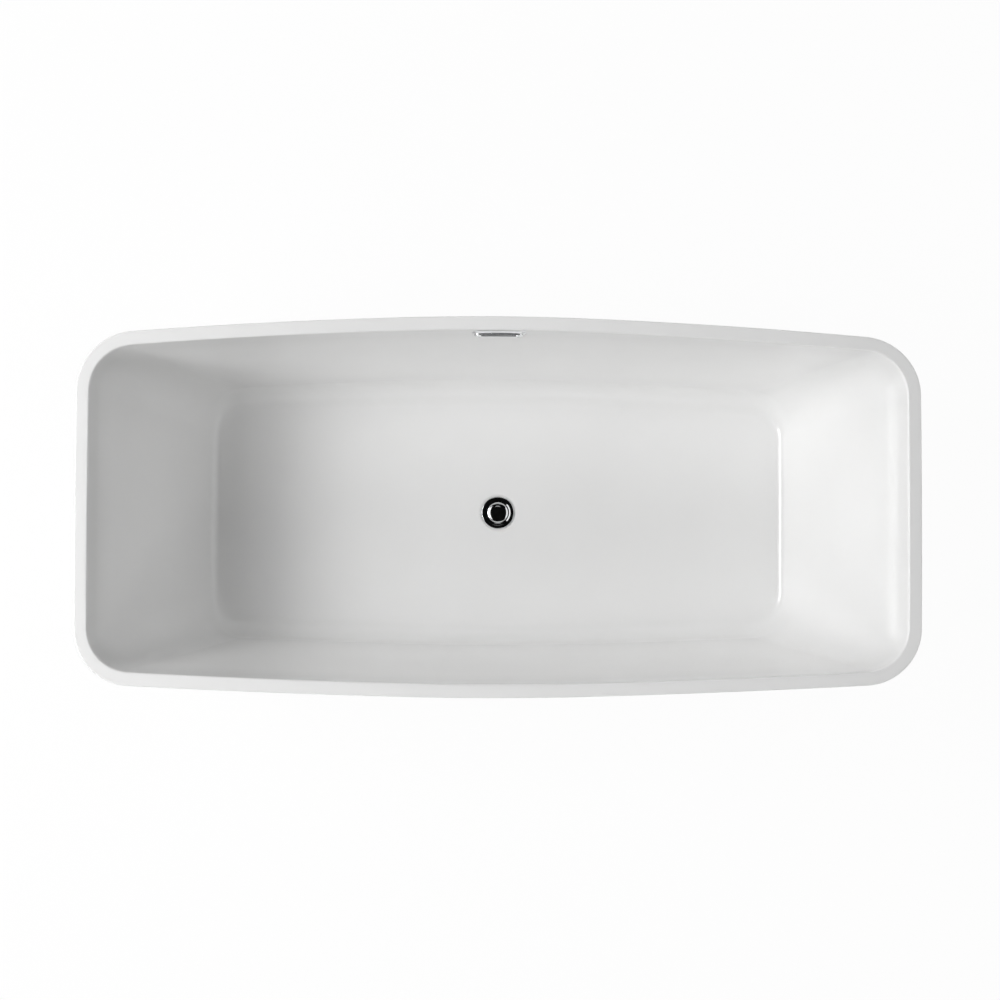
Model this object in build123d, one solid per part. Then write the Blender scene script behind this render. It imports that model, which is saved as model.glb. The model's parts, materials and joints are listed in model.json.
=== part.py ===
from build123d import *
import math
import os

# Freestanding double-walled acrylic bathtub, millimetres.
# +Z up, X along the tub, +Y towards the overflow. The origin is on the floor, under the middle.

# outline of the rim, seen from above
length = 1700.0
width = 766.0
height = 580.0
corner_radius = 118.0
side_middle_radius = 6000.0     # the long sides bow out, tighter in the middle
side_middle_half = 180.0
side_outer_radius = 14600.0
end_radius = 27000.0            # the short ends are almost straight
end_spread = 3.7                # each side stands wider by this at the -X end, and narrower at the +X end
end_shift = 7.4                 # the ends stand this far towards -Y from the middle
rim_band = 27.0
rim_round = 5.0
lip_drop = 12.0
lip_wall = 5.0

# inside of the basin
basin_floor = 150.0             # height of the basin's floor over the ground
basin_skin = 5.0
upper_wall_depth = 70.0         # the wall is steeper close under the rim
upper_side_draw = 10.0
upper_end_draw = 16.0
wall_corner = 95.0
side_run = 118.0                # from the rim's inner edge in to the flat of the floor
end_run = 208.0
side_fillet = 55.0
end_fillet = 22.0
floor_bow = 0.95                # share of the rim's bow that is left at the floor
least_corner = 12.0
corner_share = 0.25             # how much of the fillets' run the floor's corners lose

# outer skirt
skirt_wall = 4.0
skirt_lift = 8.0
skirt_side_taper = 55.0         # how far the base stands in from the rim's outline
skirt_end_taper = 60.0
skirt_base_corner = 100.0
skirt_return = 30.0
bond_gap = 0.3

# floor board and welded frame
board_thickness = 15.0
board_inset = 15.0
board_corner = 30.0
board_hole_radius = 40.0
tube_size = 30.0
tube_wall = 2.0
rail_inset = 24.0               # from the board's edge to the middle of a rail
rail_end_gap = 25.0
cross_end_gap = 17.0            # from the skirt's inner face to the end of the outer cross tubes
cross_inset = 95.0              # from the end of the floor's flat to the outer cross tubes
drain_side_cross = 160.0

# levelling feet
foot_inset = 55.0               # from the end of a cross tube
foot_pad_radius = 25.0
foot_pad_height = 14.0
foot_pad_socket = 8.0
stud_radius = 6.0
stud_above_tube = 18.0
collar_height = 7.0
collar_flats = 19.0
nut_height = 10.0
nut_flats = 22.0
running_gap = 0.05
seat_gap = 0.3

# brackets between the frame and the skirt
bracket_width = 40.0
bracket_steel = 3.0
bracket_tip_gap = 1.5
screw_radius = 2.5
screw_head_radius = 4.5
screw_head = 2.5

# waste
flange_radius = 36.0
flange_height = 3.5
flange_round = 1.2
recess_radius = 38.0
recess_depth = 2.0
washer = 1.5
throat_radius = 19.5
throat_wall = 2.5
flange_tail = 37.0
basin_hole_radius = 24.0
cap_seat_radius = 25.0
cap_seat_depth = 2.0
seat_mouth = 3.3                # how much wider the seat opens at the top
waste_flange_radius = 34.0
waste_flange = 5.0
lower_washer = 3.0
lower_washer_inner = 23.5
waste_wall = 4.0
outlet_radius = 20.0
outlet_wall = 2.5
outlet_drop = 50.0              # from the branch's middle to the end of the outlet
outlet_length = 28.0
branch_clearance = 4.0          # between the overflow pipe and the rail over it
branch_reach = 58.0
branch_socket = 26.0
branch_wall = 5.0

# stopper and its push cartridge
cap_radius = 23.0
cap_height = 5.0
cap_rim_height = 3.1            # the cap's straight side, under its sloped shoulder
cap_flat_radius = 15.0
cap_round = 1.2
seal_height = 1.2
seal_radius = 22.3
seal_inner = 14.0
stem_radius = 4.0
stem_grip = 3.0
cartridge_radius = 9.0
cartridge_height = 28.0
cartridge_top = 5.0
cartridge_floor = 4.0
cartridge_bore = 7.0
piston_radius = 6.7
piston_height = 3.0
spring_closed = 6.0
spring_wire = 0.8
spring_turns = 4
spider_height = 6.0
spider_wall = 3.0
spider_drop = 26.0

# overflow
overflow_drop = 28.0            # from the rim to the middle of the slot, down the wall
slot_length = 90.0
slot_height = 14.0
trim_length = 110.0
trim_height = 36.0
trim_thickness = 3.0
trim_round = 1.0
trim_slot_length = 68.0
trim_slot_height = 9.0
trim_collar_wall = 1.8
gasket = 1.5
wall_bow_gap = 0.5              # flat gaskets clear the gently bowed wall by this
gasket_margin = 3.0
duct_width = 100.0
duct_depth = 10.0
duct_wall = 2.0
duct_seal = 1.2
duct_seal_margin = 5.0
seal_gap = 0.1
duct_head = 16.0
duct_end_rise = 85.0            # from the basin's floor up to the duct's lower end
boot_height = 45.0
boot_shift = 4.0               # the round end stands this much further out than the flat one
pipe_radius = 16.0
pipe_wall = 2.5
pipe_bend = 60.0
clip_width = 14.0
clip_steel = 1.5

def base_bow(x):
    """How far the skirt's base has bowed in from its middle at a place along the tub."""
    middle_rise = side_middle_radius - math.sqrt(side_middle_radius**2 - side_middle_half**2)
    slope = side_middle_half / side_middle_radius
    beyond = max(abs(x) - side_middle_half, 0)
    if beyond == 0:
        return side_middle_radius - math.sqrt(side_middle_radius**2 - x**2)
    return middle_rise + slope * beyond + beyond**2 / (2 * side_outer_radius)


# levels that several pieces share
rim_under = height - lip_wall
basin_depth = height - basin_floor
basin_under = basin_floor - basin_skin
upper_level = basin_depth - upper_wall_depth
floor_half_length = length / 2 - rim_band - end_run
floor_half_width = width / 2 - rim_band - side_run
skirt_base_half_length = length / 2 - skirt_end_taper
skirt_base_half_width = width / 2 - skirt_side_taper
board_half_length = floor_half_length - board_inset
board_half_width = floor_half_width - board_inset
board_under = basin_under - board_thickness
rail_middle = board_under - tube_size / 2
cross_middle = rail_middle - tube_size
cross_under = cross_middle - tube_size / 2
rail_place = board_half_width - rail_inset
rail_length = 2 * (floor_half_length - rail_end_gap)
cross_far = floor_half_length - cross_inset
cross_half_length = skirt_base_half_width - skirt_wall - base_bow(cross_far) - cross_end_gap
cross_places = (-cross_far, drain_side_cross, cross_far)
foot_far = cross_half_length - foot_inset
foot_places = [(x, y) for x in (-cross_far, cross_far) for y in (-foot_far, foot_far)]
branch_height = board_under - tube_size - branch_clearance - pipe_radius
outlet_end = branch_height - outlet_drop
duct_end = basin_floor + duct_end_rise
pipe_top = duct_end - boot_height

parts = {}


def circles_meet(first, first_radius, second, second_radius):
    """The upper of the two points where two circles cross."""
    apart = second - first
    reach = apart.length
    along = (first_radius**2 - second_radius**2 + reach**2) / (2 * reach)
    across = math.sqrt(first_radius**2 - along**2)
    unit = apart.normalized()
    choices = [first + unit * along + Vector(-unit.Y, unit.X) * side * across for side in (-1, 1)]
    return max(choices, key=lambda point: point.X + point.Y)


def uneven(x, y, share):
    """Y of a point once the tub's small difference between its ends and its sides is put in."""
    along = x / (length / 2)
    return y * (1 - share * end_spread / (width / 2) * along) - share * end_shift * along**2


def ring(half_length, half_width, corner, bow, z, share=1.0):
    """Closed wire of twelve arcs: a rounded rectangle whose sides bow outwards."""
    middle_radius = side_middle_radius / bow
    outer_radius = side_outer_radius / bow
    far_radius = end_radius / bow
    middle_centre = Vector(0, half_width - middle_radius)
    join = Vector(side_middle_half, middle_centre.Y + math.sqrt(middle_radius**2 - side_middle_half**2))
    outer_centre = join + (middle_centre - join) * (outer_radius / middle_radius)
    end_centre = Vector(half_length - far_radius, 0)
    corner_centre = circles_meet(outer_centre, outer_radius - corner, end_centre, far_radius - corner)
    side_end = outer_centre + (corner_centre - outer_centre).normalized() * outer_radius
    end_end = end_centre + (corner_centre - end_centre).normalized() * far_radius

    def through(start, end, centre, radius):
        return centre + ((start + end) * 0.5 - centre).normalized() * radius

    def mirrored(points, x_sign, y_sign):
        flat = [(point.X * x_sign, point.Y * y_sign) for point in points]
        return [Vector(x, uneven(x, y, share), z) for x, y in flat]

    side_arc = [join, through(join, side_end, outer_centre, outer_radius), side_end]
    corner_arc = [side_end, through(side_end, end_end, corner_centre, corner), end_end]
    middle_arc = [Vector(-join.X, join.Y), Vector(0, half_width), join]
    end_arc = [end_end, Vector(half_length, 0), Vector(end_end.X, -end_end.Y)]
    arcs = [mirrored(middle_arc, 1, 1), mirrored(side_arc, 1, 1), mirrored(corner_arc, 1, 1)]
    arcs += [mirrored(end_arc, 1, 1), mirrored(corner_arc, 1, -1)[::-1], mirrored(side_arc, 1, -1)[::-1]]
    arcs += [mirrored(middle_arc, -1, -1), mirrored(side_arc, -1, -1), mirrored(corner_arc, -1, -1)]
    arcs += [mirrored(end_arc, -1, -1), mirrored(corner_arc, -1, 1)[::-1], mirrored(side_arc, -1, 1)[::-1]]
    return Wire([ThreePointArc(*points) for points in arcs])


def prism(wire, rise):
    return extrude(Face(wire), rise, dir=(0, 0, 1))


def wall_lean(flat, fillet_radius, break_reach):
    """Angle from the vertical of the wall that touches the floor's fillet and meets the steeper wall under the rim."""
    across = break_reach - flat
    up = upper_level - fillet_radius
    return math.acos(fillet_radius / math.hypot(across, up)) - math.atan2(up, across)


def reach(level, skin, flat, fillet_radius, rim_reach, draw):
    """Half size of the basin at a height over its floor, at a skin's distance outside."""
    lean = wall_lean(flat, fillet_radius, rim_reach - draw)
    radius = fillet_radius + skin
    fillet_top = fillet_radius - radius * math.sin(lean)
    if level < fillet_top:
        return flat + math.sqrt(max(radius**2 - (fillet_radius - level) ** 2, 0))
    wall = flat + radius * math.cos(lean) + (min(level, upper_level) - fillet_top) * math.tan(lean)
    if level <= upper_level:
        return wall
    share = (basin_depth - level) / upper_wall_depth
    return (rim_reach + skin) * (1 - share) + wall * share


def side_reach(level, skin):
    return reach(level, skin, floor_half_width, side_fillet, width / 2 - rim_band, upper_side_draw)


def end_reach(level, skin):
    return reach(level, skin, floor_half_length, end_fillet, length / 2 - rim_band, upper_end_draw)


def side_fillet_top():
    lean = wall_lean(floor_half_width, side_fillet, width / 2 - rim_band - upper_side_draw)
    return side_fillet * (1 - math.sin(lean))


def basin_ring(level, skin):
    """Ring of the basin's surface at a height over its floor."""
    fillet_top = side_fillet_top()
    half_length = end_reach(level, skin)
    half_width = side_reach(level, skin)
    share = max(level, 0) / basin_depth
    corner = wall_corner + (corner_radius - rim_band - wall_corner) * share + skin
    if level < fillet_top:
        inset = side_reach(fillet_top, skin) - half_width + end_reach(fillet_top, skin) - half_length
        corner = max(corner - inset * corner_share, least_corner)
    return ring(half_length, half_width, corner, floor_bow + (1 - floor_bow) * share, basin_floor + level)


def basin_solid(skin, top):
    """Everything inside the basin's surface, from its floor up to a height over the floor."""
    fillet_top = side_fillet_top()
    shares = (0, 0.02, 0.08, 0.2, 0.4, 0.66, 1)
    rounding = Solid.make_loft([basin_ring((fillet_top + skin) * share - skin, skin) for share in shares])
    wall = Solid.make_loft([basin_ring(level, skin) for level in (fillet_top, upper_level)], ruled=True)
    under_rim = Solid.make_loft([basin_ring(level, skin) for level in (upper_level, top)], ruled=True)
    return rounding + wall + under_rim


def outline(inset, z):
    return ring(length / 2 - inset, width / 2 - inset, corner_radius - inset, 1, z)


def wall_frame(z):
    """Plane on the basin's inner wall at the overflow side: local x along the tub, local z into the tub."""
    lean = math.atan(upper_side_draw / upper_wall_depth)
    return Plane((0, side_reach(z - basin_floor, 0), z), x_dir=(1, 0, 0), z_dir=(0, -math.cos(lean), math.sin(lean)))


overflow_plane = wall_frame(height - overflow_drop)


def stadium(long, high, near, far):
    """Prism with round ends on the overflow plane, between two distances from the wall."""
    sketch = overflow_plane.offset(near) * SlotOverall(long, high)
    return extrude(sketch, far - near)


def at(x, y, z):
    return Location((x, y, z))


def disc(radius, low, high, x=0.0, y=0.0):
    return at(x, y, low) * Cylinder(radius, high - low, align=(Align.CENTER, Align.CENTER, Align.MIN))


def cone(low_radius, high_radius, low, high):
    return at(0, 0, low) * Cone(low_radius, high_radius, high - low, align=(Align.CENTER, Align.CENTER, Align.MIN))


def tube(outer, inner, low, high, x=0.0, y=0.0):
    return disc(outer, low, high, x, y) - disc(inner, low, high, x, y)


def hexagon(flats, low, high, x, y):
    sketch = RegularPolygon(flats / 2, 6, major_radius=False)
    return at(x, y, low) * extrude(sketch, high - low)


def make_basin():
    rim = prism(outline(0, rim_under - lip_drop), lip_drop + lip_wall)
    rim = rim - prism(outline(lip_wall, rim_under - lip_drop), lip_drop)
    top_edges = rim.edges().filter_by(Plane.XY).group_by(Axis.Z)[-1]
    rim = fillet(top_edges, rim_round)
    shell = rim + basin_solid(basin_skin, basin_depth - lip_wall)
    shell = shell - basin_solid(0, basin_depth)
    shell = shell - disc(recess_radius, basin_floor - recess_depth, basin_floor)
    shell = shell - disc(basin_hole_radius, basin_under, basin_floor)
    return shell - stadium(slot_length, slot_height, -2 * basin_skin, basin_skin)


def skirt_ring(inset, z):
    """Ring of the skirt at a height: it tapers in from under the rim to the floor."""
    share = (rim_under - z) / (rim_under - skirt_lift)
    top_inset = lip_wall + bond_gap
    half_length = (length / 2 - top_inset) * (1 - share) + skirt_base_half_length * share
    half_width = (width / 2 - top_inset) * (1 - share) + skirt_base_half_width * share
    corner = (corner_radius - top_inset) * (1 - share) + skirt_base_corner * share
    return ring(half_length - inset, half_width - inset, corner - inset, 1, z, 1 - share)


def make_skirt():
    levels = (skirt_lift, rim_under)
    outside = Solid.make_loft([skirt_ring(0, z) for z in levels], ruled=True)
    inside = Solid.make_loft([skirt_ring(skirt_wall, z) for z in levels], ruled=True)
    return_top = skirt_lift + skirt_wall
    foot = prism(skirt_ring(skirt_wall / 2, skirt_lift), skirt_wall)
    foot = foot - prism(skirt_ring(skirt_return, skirt_lift), skirt_wall)
    for x, side in bracket_places():
        hole_y = side * bracket_screw_y(x)
        foot = foot - disc(screw_radius, skirt_lift, return_top, x, hole_y)
    return outside - inside + foot


def bracket_places():
    return [(x, side) for x in cross_places for side in (-1, 1)]


def bracket_tip(x):
    return skirt_base_half_width - skirt_wall - base_bow(x) - bracket_tip_gap


def bracket_screw_y(x):
    return (cross_half_length + bracket_steel + bracket_tip(x)) / 2


def make_brackets():
    """Steel angles: one leg on the end of a cross tube, the other on the skirt's return."""
    steel = []
    for x, side in bracket_places():
        foot_low = skirt_lift + skirt_wall
        tip = bracket_tip(x)
        foot_width = tip - cross_half_length
        foot = at(x, side * (cross_half_length + foot_width / 2), foot_low + bracket_steel / 2)
        leg_height = cross_middle + tube_size / 2 - foot_low
        leg = at(x, side * (cross_half_length + bracket_steel / 2), foot_low + leg_height / 2)
        angle = foot * Box(bracket_width, foot_width, bracket_steel) + leg * Box(bracket_width, bracket_steel, leg_height)
        steel.append(angle - disc(screw_radius, foot_low, foot_low + bracket_steel, x, side * bracket_screw_y(x)))
    return Compound(children=steel)


def make_bracket_screws():
    screws = []
    for x, side in bracket_places():
        y = side * bracket_screw_y(x)
        top = skirt_lift + skirt_wall + bracket_steel
        shank = disc(screw_radius - running_gap, skirt_lift, top, x, y)
        screws.append(shank + disc(screw_head_radius, top, top + screw_head, x, y))
    return Compound(children=screws)


def make_board():
    plate = extrude(RectangleRounded(2 * board_half_length, 2 * board_half_width, board_corner), board_thickness)
    return at(0, 0, board_under) * plate - disc(board_hole_radius, board_under, basin_under)


def make_rail(side):
    outer = Box(rail_length, tube_size, tube_size)
    inner = Box(rail_length, tube_size - 2 * tube_wall, tube_size - 2 * tube_wall)
    return at(0, side * rail_place, rail_middle) * (outer - inner)


def make_cross(x):
    outer = Box(tube_size, 2 * cross_half_length, tube_size)
    inner = Box(tube_size - 2 * tube_wall, 2 * cross_half_length, tube_size - 2 * tube_wall)
    cross = at(x, 0, cross_middle) * (outer - inner)
    for foot_x, foot_y in foot_places:
        if foot_x == x:
            cross = cross - disc(stud_radius + running_gap, cross_under, cross_under + tube_size, foot_x, foot_y)
    return cross


def make_foot_stud(x, y):
    """Threaded stud whose collar rests under the weld nut when the foot is screwed right in."""
    stud = disc(stud_radius, foot_pad_height - foot_pad_socket, cross_under + tube_size + stud_above_tube, x, y)
    collar_top = cross_under - nut_height - seat_gap
    return stud + hexagon(collar_flats, collar_top - collar_height, collar_top, x, y)


def make_foot_pad(x, y):
    pad = fillet(disc(foot_pad_radius, 0, foot_pad_height, x, y).edges().group_by(Axis.Z)[-1], foot_pad_height / 4)
    return pad - disc(stud_radius, foot_pad_height - foot_pad_socket, foot_pad_height, x, y)


def make_foot_nuts():
    nuts = []
    for x, y in foot_places:
        nut = hexagon(nut_flats, cross_under - nut_height, cross_under, x, y)
        nuts.append(nut - disc(stud_radius + running_gap, cross_under - nut_height, cross_under, x, y))
    return Compound(children=nuts)


# levels of the waste, from the basin's floor down
recess_floor = basin_floor - recess_depth
flange_low = recess_floor + washer
flange_top = flange_low + flange_height
cap_seat = flange_top - cap_seat_depth
tail_low = flange_low - flange_tail
waste_top = basin_under - lower_washer
spider_low = recess_floor - spider_drop
cartridge_low = spider_low
cartridge_high = cartridge_low + cartridge_height
chamber_low = cartridge_low + cartridge_floor
piston_low = chamber_low + spring_closed
seal_low = cap_seat + seat_gap
cap_low = seal_low + seal_height


def make_drain_washer():
    return tube(flange_radius - washer, basin_hole_radius, recess_floor, flange_low)


def make_drain_flange():
    """Dished flange, threaded tail and the spider that carries the cartridge."""
    head = disc(flange_radius, flange_low, flange_top)
    head = fillet(head.edges().group_by(Axis.Z)[-1], flange_round)
    head = head - cone(cap_seat_radius, cap_seat_radius + seat_mouth, cap_seat, flange_top)
    flange = head + disc(throat_radius + throat_wall, tail_low, flange_low)
    flange = flange - disc(throat_radius, tail_low, flange_top)
    hub = disc(cartridge_radius + spider_wall, spider_low, spider_low + spider_height)
    arm = Box(2 * throat_radius + throat_wall, spider_wall, spider_height)
    arms = [at(0, 0, spider_low + spider_height / 2) * Rot(0, 0, turn) * arm for turn in (0, 60, 120)]
    return flange + hub + arms[0] + arms[1] + arms[2] - disc(cartridge_radius, spider_low, cartridge_high)


def make_lower_washer():
    return tube(waste_flange_radius, lower_washer_inner, waste_top, basin_under)


def make_waste_body():
    """Tee under the basin: the flange's tail screws in from above, the overflow comes in at the side."""
    inner = throat_radius + throat_wall + running_gap
    outer = inner + waste_wall
    shell = disc(waste_flange_radius, waste_top - waste_flange, waste_top)
    shell = shell + disc(outer, outlet_end + outlet_length, waste_top)
    shell = shell + disc(outlet_radius, outlet_end, outlet_end + outlet_length)
    branch_frame = Plane((0, 0, branch_height), x_dir=(1, 0, 0), z_dir=(0, 1, 0))
    shell = shell + extrude(branch_frame * Circle(pipe_radius + branch_wall), branch_reach)
    shell = shell - disc(inner, tail_low, waste_top)
    shell = shell - disc(throat_radius, outlet_end + outlet_length, tail_low)
    shell = shell - disc(outlet_radius - outlet_wall, outlet_end, outlet_end + outlet_length)
    socket = branch_frame.offset(branch_reach - branch_socket) * Circle(pipe_radius)
    shell = shell - extrude(socket, branch_socket)
    return shell - extrude(branch_frame * Circle(pipe_radius - pipe_wall), branch_reach)


def make_cap():
    shoulder_low = cap_low + cap_rim_height
    cap = disc(cap_radius, cap_low, shoulder_low)
    cap = cap + cone(cap_radius, cap_flat_radius, shoulder_low, cap_low + cap_height)
    cap = fillet(cap.edges().filter_by(GeomType.CIRCLE).group_by(Axis.Z)[1:], cap_round)
    return cap - disc(stem_radius, cap_low, cap_low + stem_grip)


def make_seal():
    return tube(seal_radius, seal_inner, seal_low, cap_low)


def make_stem():
    stem = disc(stem_radius, piston_low, cap_low + stem_grip)
    return stem + disc(piston_radius, piston_low, piston_low + piston_height)


def make_cartridge():
    body = disc(cartridge_radius, cartridge_low, cartridge_high)
    body = body - disc(cartridge_bore, chamber_low, cartridge_high - cartridge_top)
    return body - disc(stem_radius + running_gap, chamber_low, cartridge_high)


def make_spring():
    coil_radius = cartridge_bore - spring_wire
    rise = spring_closed - 2 * spring_wire
    path = at(0, 0, chamber_low + spring_wire) * Helix(rise / spring_turns, rise, coil_radius)
    start = path @ 0
    section = Plane(start, z_dir=path % 0) * Circle(spring_wire / 2)
    return sweep(section, path=path, is_frenet=True)


def make_trim():
    plate = stadium(trim_length, trim_height, gasket, gasket + trim_thickness)
    front = plate.faces().sort_by(overflow_front())[-1]
    plate = fillet(front.edges(), trim_round)
    collar_long = trim_slot_length + 2 * trim_collar_wall
    collar_high = trim_slot_height + 2 * trim_collar_wall
    plate = plate + stadium(collar_long, collar_high, -basin_skin, gasket)
    return plate - stadium(trim_slot_length, trim_slot_height, -2 * basin_skin, gasket + trim_thickness)


def overflow_front():
    return Axis(overflow_plane.origin, overflow_plane.z_dir)


def make_overflow_gasket():
    gasket_long = trim_length - 2 * gasket_margin
    gasket_high = trim_height - 2 * gasket_margin
    whole = stadium(gasket_long, gasket_high, wall_bow_gap, gasket)
    return whole - stadium(slot_length, slot_height, wall_bow_gap, gasket)


def duct_front(z):
    """Where the duct's front face stands behind the basin, at a height."""
    return side_reach(z - basin_floor, basin_skin) + duct_seal


def make_duct():
    """Flat duct that follows the basin's wall down from the overflow slot."""
    head = height - overflow_drop + duct_head
    levels = (head, basin_floor + upper_level, duct_end)

    def profile(near, far, top_trim):
        front = [(duct_front(z) + near, z - (top_trim if z == head else 0)) for z in levels]
        back = [(y + far - near, z) for y, z in reversed(front)]
        return Plane.YZ * make_face(Polyline(*front, *back, close=True))

    outer = extrude(profile(0, duct_depth, 0), duct_width / 2, both=True)
    inner = extrude(profile(duct_wall, duct_depth - duct_wall, duct_wall), duct_width / 2 - duct_wall, both=True)
    return outer - inner - stadium(slot_length, slot_height, -3 * basin_skin + duct_wall, 0)


def make_duct_seal():
    long = slot_length + 2 * duct_seal_margin - duct_wall
    high = slot_height + 2 * duct_seal_margin
    near = -basin_skin - duct_seal + seal_gap
    far = -basin_skin - seal_gap
    return stadium(long, high, near, far) - stadium(slot_length, slot_height, near, far)


def make_boot():
    """Funnel from the flat duct to the round pipe."""
    middle = pipe_offset() - boot_shift

    def funnel(wall):
        mouth = at(0, middle, duct_end) * Rectangle(duct_width - 2 * wall, duct_depth - 2 * wall)
        outlet = at(0, pipe_offset(), pipe_top) * Circle(pipe_radius - wall)
        return loft([outlet, mouth])

    return funnel(0) - funnel(duct_wall)


def pipe_offset():
    """Where the overflow pipe comes down behind the basin."""
    return duct_front(duct_end) + duct_depth / 2 + boot_shift


def pipe_route():
    y = pipe_offset()
    points = [(0, y, pipe_top), (0, y, branch_height), (0, branch_reach - branch_socket, branch_height)]
    return FilletPolyline(*points, radius=pipe_bend)


def make_pipe():
    route = pipe_route()
    section = Plane(route @ 0, z_dir=route % 0) * (Circle(pipe_radius) - Circle(pipe_radius - pipe_wall))
    pipe = sweep(section, path=route)
    area = math.pi * (pipe_radius**2 - (pipe_radius - pipe_wall) ** 2)
    print(f"overflow pipe: bend {pipe_bend:g} mm, volume over section x length {pipe.volume / area / route.length:.4f}")
    return pipe


def make_pipe_clip():
    """Steel strap that hangs the pipe from the rail on the overflow side."""
    y = rail_place
    rail_under = rail_middle - tube_size / 2
    strap_frame = Plane((0, y - clip_width / 2, branch_height), x_dir=(1, 0, 0), z_dir=(0, 1, 0))
    band = Circle(pipe_radius + clip_steel) - Circle(pipe_radius)
    strap = extrude(strap_frame * band, clip_width)
    ear_height = rail_under - branch_height - pipe_radius
    ear = at(0, y, rail_under - ear_height / 2) * Box(2 * clip_width, clip_width, ear_height)
    pipe_space = extrude(strap_frame * Circle(pipe_radius), clip_width)
    return strap + (ear - pipe_space)


def add(name, shape):
    parts[name] = shape


add("basin", make_basin())
add("skirt", make_skirt())
add("skirt_brackets", make_brackets())
add("bracket_screws", make_bracket_screws())
add("floor_board", make_board())
add("frame_rail_front", make_rail(-1))
add("frame_rail_back", make_rail(1))
for number, x in enumerate(cross_places, 1):
    add(f"frame_cross_{number}", make_cross(x))
add("foot_nuts", make_foot_nuts())
for number, (x, y) in enumerate(foot_places, 1):
    add(f"foot_stud_{number}", make_foot_stud(x, y))
    add(f"foot_pad_{number}", make_foot_pad(x, y))
add("drain_washer", make_drain_washer())
add("drain_flange", make_drain_flange())
add("drain_lower_washer", make_lower_washer())
add("waste_body", make_waste_body())
add("stopper_cap", make_cap())
add("stopper_seal", make_seal())
add("stopper_stem", make_stem())
add("stopper_cartridge", make_cartridge())
add("stopper_spring", make_spring())
add("overflow_trim", make_trim())
add("overflow_gasket", make_overflow_gasket())
add("overflow_duct", make_duct())
add("overflow_duct_seal", make_duct_seal())
add("overflow_boot", make_boot())
add("overflow_pipe", make_pipe())
add("pipe_clip", make_pipe_clip())

os.makedirs("parts", exist_ok=True)
for name, shape in parts.items():
    export_step(shape, f"parts/{name}.step")
print(f"{len(parts)} nodes")
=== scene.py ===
import json
import math

import bmesh
import bpy
from mathutils import Euler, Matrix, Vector


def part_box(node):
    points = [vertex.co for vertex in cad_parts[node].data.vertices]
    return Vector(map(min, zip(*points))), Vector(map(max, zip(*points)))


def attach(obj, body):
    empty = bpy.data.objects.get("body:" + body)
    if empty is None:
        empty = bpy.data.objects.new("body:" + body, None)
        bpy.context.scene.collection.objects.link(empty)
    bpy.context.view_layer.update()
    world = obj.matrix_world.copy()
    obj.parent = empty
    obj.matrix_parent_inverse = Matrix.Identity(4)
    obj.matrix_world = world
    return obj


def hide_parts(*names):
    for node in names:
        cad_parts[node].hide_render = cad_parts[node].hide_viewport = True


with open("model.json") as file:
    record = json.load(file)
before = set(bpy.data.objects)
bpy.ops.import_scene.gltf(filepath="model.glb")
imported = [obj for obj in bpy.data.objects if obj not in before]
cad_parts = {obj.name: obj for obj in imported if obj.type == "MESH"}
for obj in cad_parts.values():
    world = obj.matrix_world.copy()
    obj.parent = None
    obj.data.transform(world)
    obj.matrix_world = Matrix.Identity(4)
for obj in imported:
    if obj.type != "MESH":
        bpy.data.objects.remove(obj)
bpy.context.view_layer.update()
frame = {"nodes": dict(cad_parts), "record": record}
nodes = frame["nodes"]
scene = bpy.context.scene
basinLow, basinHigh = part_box("basin")
print("frame loaded,", len(nodes), "nodes")


cameraSetup = {
    "lens": 71.92,
    "sensor": 36.0,
    "farClip": 50.0,
    "aboveRim": 4.0,
    "place": (-0.0089, -0.1249),        # nearly over the drain, a little to the near side
    "turn": (0.0345, -0.0032, 0.0037),  # leans back by two degrees
}


def placeCamera(setup):
    data = bpy.data.cameras.new("topCamera")
    data.lens = setup["lens"]
    data.sensor_width = setup["sensor"]
    data.clip_end = setup["farClip"]
    camera = bpy.data.objects.new("topCamera", data)
    camera.location = (*setup["place"], basinHigh.z + setup["aboveRim"])
    camera.rotation_euler = Euler(setup["turn"], "XYZ")
    scene.collection.objects.link(camera)
    scene.camera = camera


placeCamera(cameraSetup)
print("camera placed")


def newMaterial(name, settings):
    material = bpy.data.materials.new(name)
    material.use_nodes = True
    shader = material.node_tree.nodes["Principled BSDF"]
    for socket, value in settings.items():
        shader.inputs[socket].default_value = value
    return material, material.node_tree, shader


def textureSpace(tree, stretch):
    place = tree.nodes.new("ShaderNodeTexCoord")
    mapping = tree.nodes.new("ShaderNodeMapping")
    mapping.inputs["Scale"].default_value = stretch
    tree.links.new(place.outputs["Object"], mapping.inputs["Vector"])
    return mapping.outputs["Vector"]


def noise(tree, scale, detail, stretch=(1.0, 1.0, 1.0)):
    node = tree.nodes.new("ShaderNodeTexNoise")
    node.inputs["Scale"].default_value = scale
    node.inputs["Detail"].default_value = detail
    tree.links.new(textureSpace(tree, stretch), node.inputs["Vector"])
    return node.outputs["Fac"]


def spread(tree, source, low, high):
    node = tree.nodes.new("ShaderNodeMapRange")
    node.inputs["To Min"].default_value = low
    node.inputs["To Max"].default_value = high
    tree.links.new(source, node.inputs["Value"])
    return node.outputs["Result"]


def tint(tree, source, dark, light, start=0.3, end=0.7):
    ramp = tree.nodes.new("ShaderNodeValToRGB")
    ramp.color_ramp.elements[0].position = start
    ramp.color_ramp.elements[1].position = end
    ramp.color_ramp.elements[0].color = (*dark, 1)
    ramp.color_ramp.elements[1].color = (*light, 1)
    tree.links.new(source, ramp.inputs["Fac"])
    return ramp.outputs["Color"]


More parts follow.
